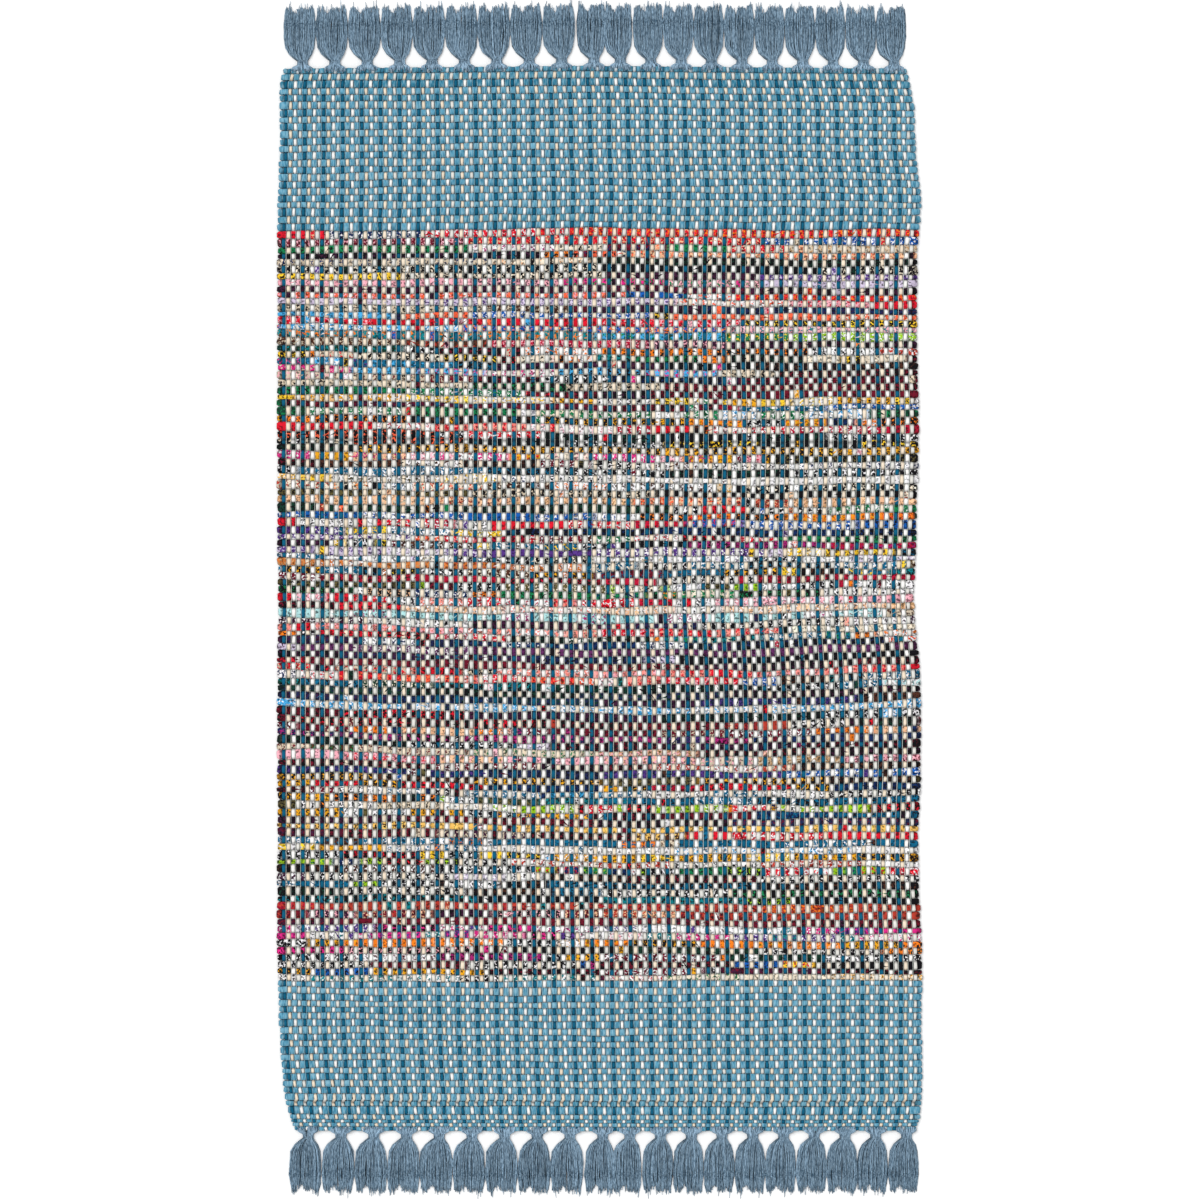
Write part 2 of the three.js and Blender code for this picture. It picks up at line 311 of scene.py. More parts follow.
# One line for each rag pick from the far border to the near one: colour, print colour after
# a plus, and where along the width a new rag starts. A line that goes on is set in.
ragPicks = """
red navy+white@.08 red+white@.23 red+orange@.45
maroon+pink red+peach@.3 royal+white@.75
green+black white+magenta@.3 cream+black@.44 maroon+navy@.5 green@.61 red+beige@.7 beige+tan@.8
black+plum orange+black@.41 coral+black@.46 peach+coral@.55
beige+navy cream+peach@.33 black+forest@.5
black+cream black@.5 black+cream@.85
yellow+black black+cream@.2 plum+black@.5 purple+lilac@.75
pink pink+plum@.3 hotpink+green@.44 pink+green@.6 lilac@.75
plum+black plum+maroon@.5 black+plum@.75
coral+pink royal@.55 white+coral@.64 red+orange@.72
lilac lilac+purple@.2 white+coral@.62 pink+red@.8 red@.93
beige+black brown+beige@.33 maroon@.46 plum+black@.5 indigo+black@.66 navy+plum@.8
sky coral@.18 royal+white@.3 coral@.61 coral+cream@.88
red+pink red@.15 red+pink@.5 black+yellow@.72
sky+white royal+orange@.3 pink+teal@.7
teal+orange sky+green@.5 green+yellow@.7 lime+white@.8
brown+beige brown+rust@.2 crimson+pink@.33 plum+pink@.58 plum+black@.7 black+plum@.8
forest+teal black+white@.2 black+maroon@.25 white+orange@.38 orange+black@.5 black+orange@.68
    white+black@.84 rust+white@.94
black+yellow beige+red@.06 black+cream@.13 black+yellow@.26 black+red@.34 cream+black@.38 white+orange@.43
    teal+black@.5 green+black@.56 orange+black@.66 black+forest@.7 cream@.82 black+yellow@.87
    cream+beige@.91 black+maroon@.97
ocean+hotpink sky+white@.05 ocean+purple@.1 ocean+sky@.15 black+ocean@.27 plum+black@.35 plum+brown@.5
    black@.6 black+brown@.75
hotpink+beige sky+ocean@.12 sky+hotpink@.22 white+hotpink@.33 sky+black@.43 black+sky@.53 sky+hotpink@.57
    beige+black@.69 black+maroon@.78
beige+pink beige+maroon@.08 maroon+beige@.24 black+maroon@.3 black+white@.42 black+navy@.52 maroon+black@.72
beige+black black+green@.3 beige+black@.45 maroon+black@.6
forest+green green+black@.02 green+white@.2 maroon+red@.38 maroon+black@.43 black+plum@.5 maroon+black@.58
    maroon@.75
yellow+black gold+beige@.03 gold+white@.08 yellow+white@.2 white+yellow@.3 gold+black@.43 white+black@.5
    yellow+black@.58 white+yellow@.64 maroon@.665 yellow+white@.69 gold@.71 yellow@.755 white+yellow@.8
    gold+black@.87 yellow+black@.95
maroon+black plum+maroon@.1 maroon+plum@.3 maroon+black@.5 crimson+maroon@.69 ocean+white@.72
    royal+white@.85
forest+green green+white@.05 white+grey@.135 green+white@.16 red+green@.195 green+black@.215 white+grey@.37
    green+cream@.4 green+white@.5 white@.58 green+white@.62 white+sky@.7 green+white@.75 white+sky@.82
    forest+green@.92
gold+black orange+black@.02 black+orange@.08 black+brown@.2 black+gold@.4 orange+gold@.64 black+white@.72
    gold+orange@.79 navy+black@.86 orange+white@.9 black+orange@.94
red white+red@.155 red+salmon@.25 salmon+red@.3 white+pink@.39 crimson+white@.52 red@.58 white+red@.68
    red+white@.73 crimson+white@.8 crimson@.95
black+coral black+white@.25 red+white@.3 black+forest@.42 black@.6 black+forest@.75 black+white@.85
black+beige black+coral@.12 black@.3 black+white@.45 black+yellow@.6 black@.75 black+yellow@.9
black+forest black+gold@.12 black+gold@.3 gold+black@.6 black+gold@.66 gold+black@.85
hotpink+white gold@.05 peach+hotpink@.125 pink+white@.2 white+crimson@.27 hotpink+white@.31 gold+red@.36
    cream+pink@.41 hotpink+white@.5 pink+white@.6 gold+hotpink@.63 gold@.68 pink+crimson@.725
    black+olive@.77
black+maroon brown+black@.06 white+brown@.2 black+brown@.28 maroon+white@.4 black+white@.5 white+brown@.57
    white+black@.68 white+navy@.8
black+white ocean+white@.04 black+ocean@.32 black+white@.42 black+forest@.6 black+white@.8
honey+white yellow+honey@.03 white+olive@.09 white+yellow@.24 white+navy@.34 white+black@.4 white@.52
cream+rust cream+orange@.08 white+ocean@.17 cream+coral@.21 brown+cream@.33 white+orange@.43 white+brown@.52
    beige+gold@.68 black+cream@.73
olive+black black+beige@.3 black@.6
peach+tan peach+beige@.1 peach+rust@.25 peach+tan@.36 coral+peach@.55 peach+coral@.62 rust+peach@.7
    peach+tan@.8 peach@.93
forest+black black+forest@.2 forest+black@.45 black+white@.62 red+black@.67 black+white@.73 green+white@.86
    green@.96
royal+white royal+ocean@.05 white+royal@.13 royal+white@.2 royal@.3 royal+white@.4 white+royal@.5 white@.53
    black+orange@.56 orange+red@.65 black+orange@.72 orange+gold@.8 orange+red@.95
red+maroon white+black@.045 red+black@.11 red+white@.17 crimson+white@.25 white+black@.28 red@.33
    red+white@.45 crimson+red@.55 royal+red@.63 royal+white@.73 royal+black@.9
purple+plum purple+white@.06 yellow+ocean@.11 white+ocean@.17 yellow+white@.28 black+navy@.35 navy+black@.6
    black+navy@.88
purple+white purple+lilac@.05 white+purple@.13 coral+white@.21 red+white@.26 crimson+black@.31
    maroon+white@.4 green+white@.5 white+red@.56 black+red@.63 red+white@.73 green@.78 green+black@.85
plum+black yellow+white@.09 black+white@.11 black+yellow@.15 brown+white@.18 yellow+white@.31
    ocean+white@.34 ocean+yellow@.42 black+white@.48 black@.5 magenta+black@.65 magenta+plum@.72
    crimson+magenta@.85
purple+lilac lilac+purple@.06 lilac+white@.15 purple+lilac@.27 purple@.33 purple+white@.5 lilac@.76
    yellow+white@.8 white+yellow@.83 yellow+brown@.86 black+ocean@.97
white+ocean ocean+white@.03 white@.08 white+cream@.2 black+white@.28 black+cream@.4 white+beige@.5 white@.6
    white+lilac@.66 black+white@.745 white@.83 lilac+white@.9
copper+tan copper+white@.06 copper+tan@.15 copper+rust@.25 copper+white@.37 ocean@.475 ocean+cream@.5
    black+white@.56 ocean+white@.65 black+ocean@.75 ocean+white@.87 yellow+ocean@.97
black+gold ocean+white@.07 black+ocean@.13 black+yellow@.18 black+white@.21 brown+cream@.3 black+gold@.4
    maroon+ocean@.5 ocean+brown@.6 black+gold@.7 yellow+black@.78 black+brown@.82 ocean+yellow@.88
    teal+black@.97
maroon+white crimson+black@.08 crimson@.2 black+crimson@.35 crimson@.5 black+white@.6 maroon+crimson@.75
    crimson@.88
olive+black lime+black@.225 maroon+black@.24 black+white@.28 olive+cream@.35 lime+cream@.515 cream+black@.53
    lime+cream@.6 white+grey@.62 olive+black@.67 lime@.705 white+black@.755 black+white@.82 orange+black@.87
    white+black@.9
black+green black+peach@.12 navy+white@.22 orange+black@.29 green+black@.35 green+navy@.5 green+orange@.58
    green+cream@.63 black+green@.72 white+black@.85
red pink+white@.03 red@.075 red+white@.12 white+black@.175 salmon+white@.225 red+white@.297
    white+crimson@.35 salmon+red@.43 red+white@.47 crimson+red@.56 white+black@.63 pink+white@.68 pink@.9
black+maroon red+black@.1 peach+white@.21 white+salmon@.35 peach+white@.5 white+black@.62 peach+white@.7
    tan+peach@.95
aqua aqua+magenta@.1 aqua@.18 white+magenta@.35 aqua@.4 aqua+magenta@.47 aqua@.52 white+magenta@.6 aqua@.68
    white+magenta@.83 aqua+white@.86 beige+brown@.95
plum+white white+black@.15 plum+black@.3 indigo+plum@.5 black+white@.66 white+plum@.9
salmon+pink red@.035 salmon+pink@.055 pink+salmon@.2 salmon+white@.3 salmon+beige@.45 red+pink@.5
    red+salmon@.58 salmon+red@.68 cream@.79 cream+beige@.9
orange+black black+white@.03 red+black@.06 black+red@.15 crimson+white@.24 red+white@.3 black+forest@.36
    forest+white@.45 black+forest@.5 ocean+green@.6 teal+black@.68 ocean+white@.75 ocean+green@.85
    orange+black@.9 white+orange@.94
plum+indigo white+navy@.13 indigo+black@.22 navy+white@.36 navy@.42 white+navy@.57 black+indigo@.64
    coral+white@.95
lilac+grape grape@.03 grape+white@.13 grape+plum@.3 grape@.4 grape+plum@.55 grape@.75 plum+grape@.95
black+plum plum+indigo@.1 indigo+black@.4 lilac+indigo@.57 black@.62
maroon+red maroon@.06 maroon+plum@.2 maroon@.3 maroon+black@.5 plum+black@.65 black+plum@.75 black+maroon@.9
red+beige black+red@.05 beige+red@.1 red+black@.2 black+beige@.28 salmon+white@.35 salmon+pink@.5
    salmon+red@.6 red+salmon@.68 salmon+pink@.75 salmon+red@.85 red@.97
white+navy white+red@.04 red+coral@.08 coral+red@.2 red+white@.3 coral+red@.4 coral+white@.47 white+pink@.5
    salmon+red@.54 red+pink@.6 royal+white@.72 black+brown@.78 black+ocean@.85 ocean+white@.92
forest+teal ocean+black@.05 forest+cream@.13 black+teal@.25 forest+black@.4 black+forest@.55 black+white@.75
    ocean+white@.88 white+aqua@.94
forest+indigo black+forest@.2 indigo+forest@.45 black+plum@.7
indigo+plum navy+black@.2 indigo+forest@.33 plum+black@.5 indigo+purple@.66 brown+black@.9
sky+white white+sky@.22 sky+white@.3 white+sky@.42 sky+white@.5 white+sky@.65 sky+white@.8
maroon+black black+red@.1 plum+black@.3 black+forest@.6 black+white@.85
maroon+black black+red@.04 black+maroon@.2 black+red@.3 black+maroon@.4 maroon+black@.55 maroon+rust@.7
    rust@.745 black+white@.795 black+forest@.88
maroon+white maroon@.03 maroon+beige@.07 orange@.113 orange+white@.16 peach+rust@.185 peach@.22
    orange+white@.313 maroon+white@.36 maroon@.42 maroon+black@.5 maroon+beige@.6 maroon+white@.7
    orange+maroon@.835 peach+orange@.9 peach@.93
navy+magenta indigo+magenta@.1 black+magenta@.2 magenta+black@.3 indigo+magenta@.4 magenta+indigo@.5
    indigo+purple@.6 magenta+black@.67 navy+black@.73 navy+indigo@.85
black+forest black+white@.2 lilac+white@.37 black+maroon@.42 plum+black@.6 black+maroon@.8
beige+maroon brown+green@.05 beige+maroon@.12 beige+green@.3 tan+pink@.5 black+maroon@.66 black+plum@.85
pink pink+red@.1 peach+pink@.25 pink@.35 pink+peach@.5 beige+pink@.66 tan+beige@.75 pink+maroon@.88
black+maroon maroon+white@.25 black+plum@.4 black+maroon@.5 rust+white@.57 white+rust@.66 rust+beige@.75
    black+brown@.8
indigo+purple navy+purple@.1 indigo+black@.33 purple+indigo@.5 royal+white@.79
black+gold brown+black@.15 black+gold@.3 olive+black@.5 black+gold@.66 black+brown@.85
gold+black red+black@.06 black+gold@.13 red+black@.19 navy+black@.33 gold@.5 black+gold@.54
    crimson+black@.58 red+black@.66 black+gold@.8 navy+black@.86
black+maroon maroon+white@.05 white+black@.1 white+ocean@.15 black+white@.22 ocean+white@.3 ocean+sky@.4
    ocean+white@.5 white+black@.57 ocean+white@.67 white+black@.75 black+white@.85
black+gold gold+black@.03 black+orange@.08 orange+black@.14 black+forest@.18 black+orange@.22
    white+black@.27 olive+forest@.3 teal+black@.4 ocean+teal@.5 ocean+black@.55 ocean+white@.65
    black+ocean@.75 ocean+black@.85
olive+black white+black@.04 beige+black@.15 white+cream@.25 white+lime@.33 red@.37 lime@.385 lime+white@.42
    black+white@.46 red+white@.48 lime+white@.52 black+red@.54 lime+white@.59 lime@.61 lime+white@.66
    red+white@.7 lime+cream@.755 lime+white@.8 lime@.86 black+red@.925
gold+black white+black@.1 gold+black@.2 black+white@.3 gold+navy@.37 black+maroon@.5 maroon+black@.6
    maroon@.68 navy+ocean@.74 ocean+black@.88
plum+black maroon+black@.2 black+plum@.5 indigo+maroon@.7
honey+brown honey+black@.08 honey+brown@.14 honey@.22 honey+tan@.36 honey@.45
plum+maroon maroon+black@.1 plum+beige@.25 black+maroon@.4 honey+brown@.55 brown+honey@.6 red@.63
    red+white@.7 red@.85
ocean+white brown+ocean@.07 ocean+white@.13 ocean+orange@.27 ocean@.34 orange+ocean@.53 beige+brown@.6
    ocean@.63 ocean+white@.79 brown+ocean@.91 ocean@.94
yellow+white gold@.068 white+ocean@.17 ocean+white@.24 white@.315 white+sky@.62 white@.9
black+white black+red@.1 yellow+black@.22 black+white@.27 yellow@.315 black+yellow@.36 gold+white@.43
    gold+black@.5 yellow+black@.56 gold+black@.63 yellow+white@.74 gold+black@.8 black+gold@.9
lime+black lime+green@.03 navy+white@.09 lime+black@.13 black+red@.17 black+lime@.24 black+white@.29
    white+rust@.36 rust+white@.5 white+black@.62 rust+white@.75 white@.92
black+brown brown+white@.1 black+white@.25 lime+red@.4 navy+red@.44 green+lime@.47 navy+black@.515
    lime+red@.55 black+white@.59 green+black@.62 black+lime@.7 red+white@.75 white+red@.83 lime@.86
    green+navy@.885 lime+red@.91 red+white@.96
plum+white black+white@.05 lilac+white@.27 white+black@.36 black+brown@.41 black+maroon@.55 black+white@.75
ocean+white ocean@.03 lime+black@.11 black+white@.16 white+black@.25 black+brown@.35 ocean+black@.42
    black+ocean@.5 black+brown@.75
black+forest black+white@.1 black+brown@.3 ocean+black@.43 black+white@.5 black+green@.7
black+teal black@.3 teal+black@.5 black+lime@.72 black@.8
crimson+rust rust+crimson@.03 rust@.1 rust+crimson@.25 rust@.4 rust+maroon@.47 rust+crimson@.5
    rust+maroon@.6 rust+orange@.75 rust@.9
maroon+rust plum+pink@.05 maroon+peach@.12 plum+black@.25 black+pink@.33 maroon+peach@.44 rust+peach@.5
    peach+rust@.56 rust+maroon@.63 rust@.75
plum+maroon maroon@.1 maroon+plum@.5 maroon+black@.75
magenta+white white+purple@.03 purple+white@.07 black+hotpink@.15 white+hotpink@.26 hotpink+black@.33
    white+magenta@.4 white+purple@.5 white@.57 white+teal@.74 hotpink+white@.81 purple+hotpink@.86
    hotpink+magenta@.92
hotpink+magenta white+black@.04 purple+white@.09 hotpink+purple@.15 teal+white@.225 purple+hotpink@.26
    hotpink+white@.3 black+hotpink@.38 purple+black@.43 white@.465 white+pink@.5 teal+white@.565
    hotpink+white@.62 purple+white@.71 teal+purple@.76 purple+white@.8 teal+white@.86 white+hotpink@.9
black+white gold+black@.05 orange+gold@.1 orange@.13 orange+cream@.25 black+white@.35 white+gold@.44
    gold+orange@.47 orange+gold@.5 black+gold@.55 orange@.655 orange+gold@.75 orange+peach@.81
    gold+black@.88 orange+black@.96
hotpink+black black+pink@.12 black@.3 forest+black@.55 black+white@.75 orange+forest@.93
black+white white+maroon@.12 magenta+black@.25 black+white@.42 gold+black@.44 maroon+white@.5
    forest+black@.7 black+white@.85
black+white maroon+black@.15 black+white@.3 black+maroon@.5 royal+black@.7 yellow+red@.78 black@.83
black+gold royal+black@.05 gold+black@.15 black+maroon@.33 maroon+white@.5 plum+maroon@.66 black+maroon@.85
white+black teal+white@.05 white+teal@.2 black+white@.28 teal+white@.35 white+red@.5 cream+green@.6
    cream@.72 cream+gold@.85
""".replace("\n    ", " ").split("\n")[1:-1]
print("rug: rag picks listed", len(ragPicks), "of", bands[1]["picks"])

# Where the weft's rings lie across the width: two at each warp end, and two in the turn at each selvedge
lastEnd = ground["warpEnds"] - 1
ringEnd = np.concatenate([[0, 0], np.repeat(np.arange(ground["warpEnds"]), 2), [lastEnd, lastEnd]])
ringSide = np.tile([-1, 1], ringEnd.size // 2)
weftAcross = (endPlaces[ringEnd] + weft["ringShare"] * ground["endPitch"] * ringSide) / loomWidth
turnRings = [0, 1, -2, -1]  # the tip and shoulder of a turn on the left, and on the right
tipRings = [0, -1]
weftAcross[turnRings] = [0, weft["turnShare"], 1 - weft["turnShare"], 1]
weftLines = pickBoundaries(weftAcross)


def weftShape(picks, skips):  # centres, half-sizes and light of the rings of these picks
    upper, lower = weftLines[picks], weftLines[picks + 1]
    over = ~isWarpOver(ringEnd[None, :], picks[:, None])
    reach = np.where(over, weft["overShare"], weft["underShare"]) * ground["endPitch"]
    across = endPlaces[ringEnd] + reach * ringSide + jogs[picks][:, None]
    turns = rng.uniform(*weft["turnIn"], (picks.size, 2, 1))
    across[:, :2] = turns[:, 0] + [weft["tip"], weft["shoulder"]]
    across[:, -2:] = loomWidth - turns[:, 1] - [weft["shoulder"], weft["tip"]]
    x, y = placeOf(across / loomWidth, (upper + lower) / 2)
    z = ground["level"] + weft["crimp"] * np.where(over, 1, -1)
    skipped = np.repeat(rng.random((picks.size, ringEnd.size // 2)) < skips, 2, axis=1)
    z = np.where(skipped, ground["level"] + weft["crimp"] + weft["ride"], z)
    z[:, turnRings] = ground["level"] + weft["turnLevel"]
    z[:, tipRings] -= weft["tipDrop"]
    wide = (upper - lower) / 2 * weft["fill"] * (1 + weft["crumple"] * rng.uniform(-1, 1, z.shape))
    thick = weft["halfThick"] * (1 + weft["lumps"] * rng.uniform(-1, 1, z.shape))
    wide[:, tipRings] *= weft["tipWidth"]
    thick[:, tipRings] *= weft["tipThick"]
    y += rng.normal(0, weft["wander"], y.shape)
    light = np.where(over | skipped, 1, weft["sunk"])
    light[:, turnRings] = weft["turnLight"]
    return np.stack([x, y, z], axis=2), wide, thick, light


def shade(colours, spread, size):  # lighter and darker by the ring, with the hue kept
    return np.clip(colours * (1 + spread * rng.normal(0, 1, size))[..., None], 0, 1)


def withAlpha(colours, alpha):
    return np.concatenate([colours, np.full(colours.shape[:2] + (1,), float(alpha))], axis=2)


def withLight(colours4, light):  # darkens the colour and leaves alpha as it is
    return np.concatenate([colours4[..., :3] * light[..., None], colours4[..., 3:]], axis=2)


def borderColours(names):  # plain yarn, so its print is the same and has no share
    picked = np.array([linear(borderBlues[name]) for name in names.split()])
    colours = np.repeat(picked[:, None, :], weftAcross.size, axis=1)
    colours = shade(colours, weft["borderShade"], colours.shape[:2])
    return withAlpha(colours, 0), withAlpha(colours, 0)


def ragColours(lines):  # the cloth's colour with the share of its print, and the print's colour with a seed
    plain4 = np.zeros((len(lines), weftAcross.size, 4))
    print4 = np.zeros_like(plain4)
    for row, line in enumerate(lines):
        for rag in line.split():
            colours, _, start = rag.partition("@")
            plain, _, printed = colours.partition("+")
            first = float(start) + rng.normal(0, weft["startSpread"]) if start else 0
            columns = weftAcross >= first
            plain4[row, columns] = linear(palette[plain]) + [1 if printed else 0]
            print4[row, columns] = linear(palette[printed or plain]) + [rng.random()]
    for colours in (plain4, print4):
        colours[..., :3] = shade(colours[..., :3], weft["ragShade"], colours.shape[:2])
    # Here and there a colour from along the rag, or from the one beside it, comes up between two ends
    row, end = np.nonzero(rng.random((len(lines), weftAcross.size // 2)) < weft["strays"])
    fromRow = np.clip(row + rng.integers(-1, 2, row.size), 0, len(lines) - 1)
    fromRing = rng.integers(0, weftAcross.size, row.size)
    for colours in (plain4, print4):
        stray = colours[fromRow, fromRing]
        colours[row, 2 * end] = colours[row, 2 * end + 1] = stray
    return plain4, print4


borderEnd, ragEnd = bandEdges[1], bandEdges[2]
ragHalf = (borderEnd + ragEnd) // 2
halfLines = ragHalf - borderEnd
farLength, centreLength, nearLength = [row["length"] for row in bands]
weftBands = [  # name, first pick, pick after the last, length of cloth, share of skips, colours
    ("weftFarBorder", 0, borderEnd, farLength, 0, borderColours(borderPicks["far"])),
    ("weftCentreFar", borderEnd, ragHalf, centreLength / 2, weft["skips"], ragColours(ragPicks[:halfLines])),
    ("weftCentreNear", ragHalf, ragEnd, centreLength / 2, weft["skips"], ragColours(ragPicks[halfLines:])),
    ("weftNearBorder", ragEnd, pickCount, nearLength, 0, borderColours(borderPicks["near"])),
]
weftPieces = []
for name, first, after, length, skips, (plain4, print4) in weftBands:
    centre, wide, thick, light = weftShape(np.arange(first, after), skips)
    piece = strandPiece(name, centre, wide, thick, weft["section"])
    paint(piece, "ragColour", withLight(plain4, light), weft["cornerShade"])
    paint(piece, "printColour", withLight(print4, light), weft["cornerShade"])
    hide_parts("cloth")
    weftPieces.append(piece)
print("rug: weft woven", [piece.name for piece in weftPieces])

# Torn ends: short ravelled bits of rag that stand out of the weave, in the colours of the rags beside them
torn = {
    "section": [(1, -0.6), (0, 1), (-1, -0.6)],
    # painted shade on the lower corners of the section
    "cornerShade": [0.8, 1, 0.8],
    "count": 1000,
    "inset": 6,  # rings left clear at each selvedge
    "reach": (1.8, 6.5),  # shortest and longest half-lengths
    "slant": 0.6,  # spread of the angle to the picks, in radians
    "bend": 0.7,
    "halfWidth": 1.0,
    "widths": (0.6, 1.4),  # narrowest and widest places, beside that
    "taper": 0.4,
    "halfThick": 0.4,
    "level": 6.3,
    "droop": 0.5,
    "printed": 0.5,  # share of the bits in the colour of the print
}
plainRags, printRags = (np.concatenate(part) for part in zip(weftBands[1][-1], weftBands[2][-1]))
ringRange = torn["inset"], weftAcross.size - torn["inset"]
rows, columns = rng.integers([0, ringRange[0]], [len(ragPicks), ringRange[1]], (torn["count"], 2)).T
bitSteps = np.array([-1, 0, 1])
reach = rng.uniform(*torn["reach"], torn["count"])[:, None]
slant = rng.normal(0, torn["slant"], torn["count"])[:, None]
upper, lower = weftLines[rows + borderEnd, columns], weftLines[rows + borderEnd + 1, columns]
bitBend = rng.normal(0, torn["bend"], torn["count"])[:, None] * (1 - np.abs(bitSteps))
bitAcross = weftAcross[columns][:, None] + reach * np.cos(slant) * bitSteps / loomWidth
bitAlong = (upper + lower)[:, None] / 2 + reach * np.sin(slant) * bitSteps + bitBend
x, y = placeOf(bitAcross, bitAlong)
z = np.broadcast_to(torn["level"] - torn["droop"] * np.abs(bitSteps), x.shape)
centre = np.stack([x, y, z], axis=2)
wide = torn["halfWidth"] * rng.uniform(*torn["widths"], x.shape) * (1 - torn["taper"] * np.abs(bitSteps))
tornEnds = strandPiece("tornEnds", centre, wide, np.full(x.shape, torn["halfThick"]), torn["section"])
isPlain = rng.random(torn["count"])[:, None] < 1 - torn["printed"]
bitTone = np.where(isPlain, plainRags[rows, columns], printRags[rows, columns])
bitTone[:, 3] = 0  # no figures on so small a bit
bitTone = np.repeat(bitTone[:, None, :], bitSteps.size, axis=1)
paint(tornEnds, "ragColour", bitTone, torn["cornerShade"])
paint(tornEnds, "printColour", bitTone, torn["cornerShade"])
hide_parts("cloth")
print("rug: torn ends laid", torn["count"])

# The warp: four yarns in turn from the left selvedge
warp = {
    "section": [(1, -0.3), (0.84, 0.95), (-0.84, 0.95), (-1, -0.3)],
    # painted shade on the lower corners of the section
    "cornerShade": [0.3, 1, 1, 0.3],
    "crimp": 1.75,
    "halfThick": 1.2,
    "overShare": 0.24,  # the flat over a pick, each side of its middle, in picks
    "underShare": 0.34,
    "sunk": 0.25,  # light where it dives under a pick
    "borderWidth": 2.1,  # half-width among the fine border picks
    "centreWidth": 2.5,
    "widths": (0.88, 1.12),  # narrowest and widest places, beside those
    "aside": 0.25,  # how far a float strays sideways, and each ring of it
    "wobble": 0.12,
    "endInset": 1.2,
    "shade": 0.05,
    "centreTone": 1.05,  # the floats are a little cleaner among the rags
    "feltedRings": 3,  # at the far end the knots of the tassels have felted the yarn
    "felted": 0.4,
}
warpYarns = {"blue": "#035a79", "peach": "#e8d8c2", "white": "#f1efec", "grey": "#d9d7d1"}
warpBounds = pickBoundaries(endPlaces / loomWidth)
warpPieces = []
for number, (yarn, colour) in enumerate(warpYarns.items()):
    ends = np.arange(number, ground["warpEnds"], len(warpYarns))
    bounds = warpBounds[:, ends].T
    middle, height = (bounds[:, :-1] + bounds[:, 1:]) / 2, bounds[:, :-1] - bounds[:, 1:]
    picks = np.arange(pickCount)
    over = isWarpOver(ends[:, None], picks[None, :])
    reach = np.where(over, warp["overShare"], warp["underShare"]) * height
    along = np.stack([middle + reach, middle - reach], axis=2).reshape(ends.size, -1)
    along = np.hstack([bounds[:, :1] - warp["endInset"], along, bounds[:, -1:] + warp["endInset"]])
    over = np.repeat(over, 2, axis=1)
    rise = np.pad(np.where(over, 1, -1), ((0, 0), (1, 1)))  # both of its ends are in the mid-plane
    z = ground["level"] + rise * warp["crimp"]
    aside = np.repeat(jogs + rng.normal(0, warp["aside"], (ends.size, pickCount)), 2, axis=1)
    aside = np.pad(aside, ((0, 0), (1, 1)), mode="edge") + rng.normal(0, warp["wobble"], along.shape)
    x, y = placeOf((endPlaces[ends][:, None] + aside) / loomWidth, along)
    inCentre = np.pad(np.repeat((picks >= borderEnd) & (picks < ragEnd), 2), 1)
    wide = np.where(inCentre, warp["centreWidth"], warp["borderWidth"])
    wide = wide * rng.uniform(*warp["widths"], along.shape)
    thick = np.full(along.shape, warp["halfThick"])
    piece = strandPiece(f"warp{yarn.capitalize()}", np.stack([x, y, z], axis=2), wide, thick, warp["section"])
    tone = shade(np.broadcast_to(linear(colour), along.shape + (3,)), warp["shade"], along.shape)
    tone *= np.where(inCentre, warp["centreTone"], 1)[:, None]
    tone[:, 1:-1] *= np.where(over, 1, warp["sunk"])[..., None]
    for pick in ground["sameShed"]:  # a long float is nipped between its two picks, and painted shade darkens it there
        tone[:, 2 * pick + 1] *= warp["sunk"]
    feltBlue = np.array(linear(borderBlues["teal"]))
    felted = tone[:, :warp["feltedRings"]]
    felted += warp["felted"] * (feltBlue - felted)
    paint(piece, "yarnColour", withAlpha(tone, 1), warp["cornerShade"])
    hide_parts("cloth")
    warpPieces.append(piece)
print("rug: warp strung", ground["warpEnds"], "ends")

# A fine pale thread lies in each gap between two warp ends and binds the picks
binding = {
    "section": [(1, -0.4), (0, 1), (-1, -0.4)],
    # painted shade on the lower corners of the section
    "cornerShade": [0.8, 1, 0.8],
    "ringStep": 2,  # picks from one ring to the next
    "borderWidth": 0.45,
    "centreWidth": 0.5,
    "widths": (0.8, 1.2),
    "halfThick": 0.6,
    "level": 5.3,
    "aside": 0.15,  # how far a ring strays sideways, and up or down
    "bob": 0.12,
    "borderColour": "#94b8c4",
    "centreColour": "#d6dcd6",
    "shade": 0.1,
}
gaps = (endPlaces[:-1] + endPlaces[1:]) / 2
lines = pickBoundaries(gaps / loomWidth).T
ringPicks = np.arange(0, pickCount, binding["ringStep"])
middle = lines[:, ringPicks + 1]
across = (gaps[:, None] + jogs[ringPicks] + rng.normal(0, binding["aside"], middle.shape)) / loomWidth
x, y = placeOf(across, middle)
z = binding["level"] + rng.normal(0, binding["bob"], middle.shape)
inCentre = (ringPicks >= borderEnd) & (ringPicks < ragEnd)
wide = np.where(inCentre, binding["centreWidth"], binding["borderWidth"])
wide = wide * rng.uniform(*binding["widths"], middle.shape)
thick = np.full(middle.shape, binding["halfThick"])
threads = strandPiece("bindingThread", np.stack([x, y, z], axis=2), wide, thick, binding["section"])
tone = np.where(inCentre[:, None], linear(binding["centreColour"]), linear(binding["borderColour"]))
tone = shade(np.broadcast_to(tone, middle.shape + (3,)), binding["shade"], middle.shape)
paint(threads, "yarnColour", withAlpha(tone, 1), binding["cornerShade"])
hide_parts("cloth")
print("rug: binding thread laid")

